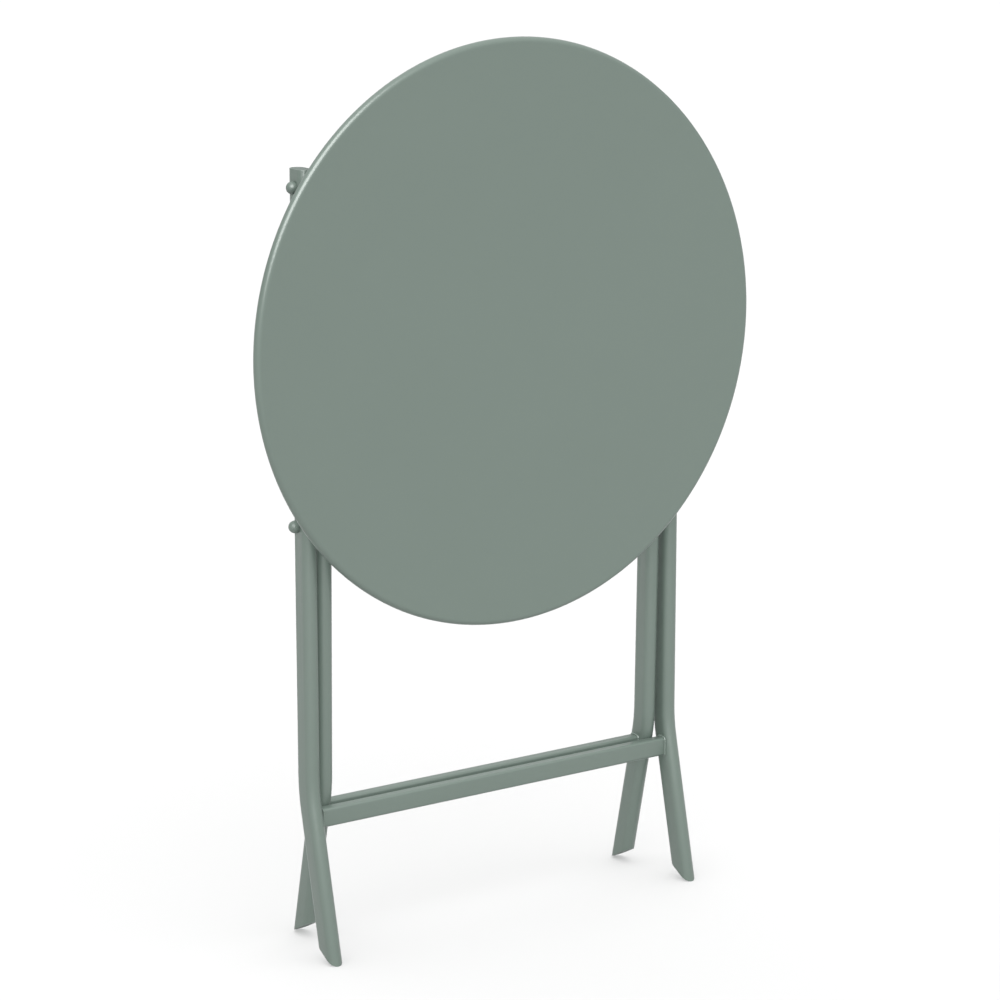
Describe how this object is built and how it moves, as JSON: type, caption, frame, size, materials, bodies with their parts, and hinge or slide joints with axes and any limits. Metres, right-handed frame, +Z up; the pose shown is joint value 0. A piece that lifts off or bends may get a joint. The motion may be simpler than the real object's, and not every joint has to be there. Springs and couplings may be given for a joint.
{
  "type": "folding bistro table",
  "caption": "Round folding table with crossed flat-oval tube legs; its tray hangs flat in front of the legs when folded and lies level on a top rod when open.",
  "frame": {"origin": "On the floor at the middle of the folded table's footprint, straight below the scissor pivot's midpoint.", "axes": "+X along the hinge axes, +Y away from the tray's upper face, +Z up along the folded legs."},
  "size_m": [0.5999, 0.1151, 0.923],
  "materials": {
    "powder_coat": "satin grey-green powder coat",
    "fastener_coat": "satin painted steel fastener",
    "plug_plastic": "matt grey-green plastic",
    "rod_steel": "satin powder coat, worn where it turns and slides"
  },
  "bodies": {
    "outer_frame": {"outer_leg_left": "powder_coat", "outer_top_plug_left": "plug_plastic", "outer_foot_plug_left": "plug_plastic", "pivot_bolt_left": "fastener_coat", "hinge_pin_left": "fastener_coat", "outer_leg_right": "powder_coat", "outer_top_plug_right": "plug_plastic", "outer_foot_plug_right": "plug_plastic", "pivot_bolt_right": "fastener_coat", "hinge_pin_right": "fastener_coat", "pivot_washers": "plug_plastic", "pivot_nuts": "fastener_coat", "outer_crossbar": "powder_coat", "outer_weld_beads": "powder_coat"},
    "inner_frame": {"inner_leg_left": "powder_coat", "inner_top_plug_left": "plug_plastic", "inner_foot_plug_left": "plug_plastic", "inner_leg_right": "powder_coat", "inner_top_plug_right": "plug_plastic", "inner_foot_plug_right": "plug_plastic", "inner_crossbar": "powder_coat", "inner_weld_beads": "powder_coat"},
    "top_rod": {"top_rod": "rod_steel"},
    "tray": {"tray_rail_left": "powder_coat", "hinge_ear_left": "powder_coat", "catch_hook_left": "powder_coat", "tray_rail_right": "powder_coat", "hinge_ear_right": "powder_coat", "catch_hook_right": "powder_coat", "tray_top": "powder_coat"}
  },
  "joints": [
    {"name": "leg_pivot", "type": "hinge", "parent": "outer_frame", "child": "inner_frame", "pos_m": [0, 0, 0.448], "axis": [1, 0, 0], "range_deg": [0, 57.01]},
    {"name": "rod_turn", "type": "hinge", "parent": "inner_frame", "child": "top_rod", "pos_m": [0, -0.00592, 0.78695], "axis": [-1, 0, 0], "range_deg": [0, 118.52]},
    {"name": "tray_slide", "type": "slide", "parent": "top_rod", "child": "tray", "axis": [0, -0.0191, 0.9998], "range_m": [0, 0.32437]}
  ],
  "couplings": [
    {"joint": "rod_turn", "follows": "leg_pivot", "ratio": 2.0787},
    {"joint": "tray_slide", "follows": "leg_pivot", "m_per_rad": 0.32598}
  ]
}
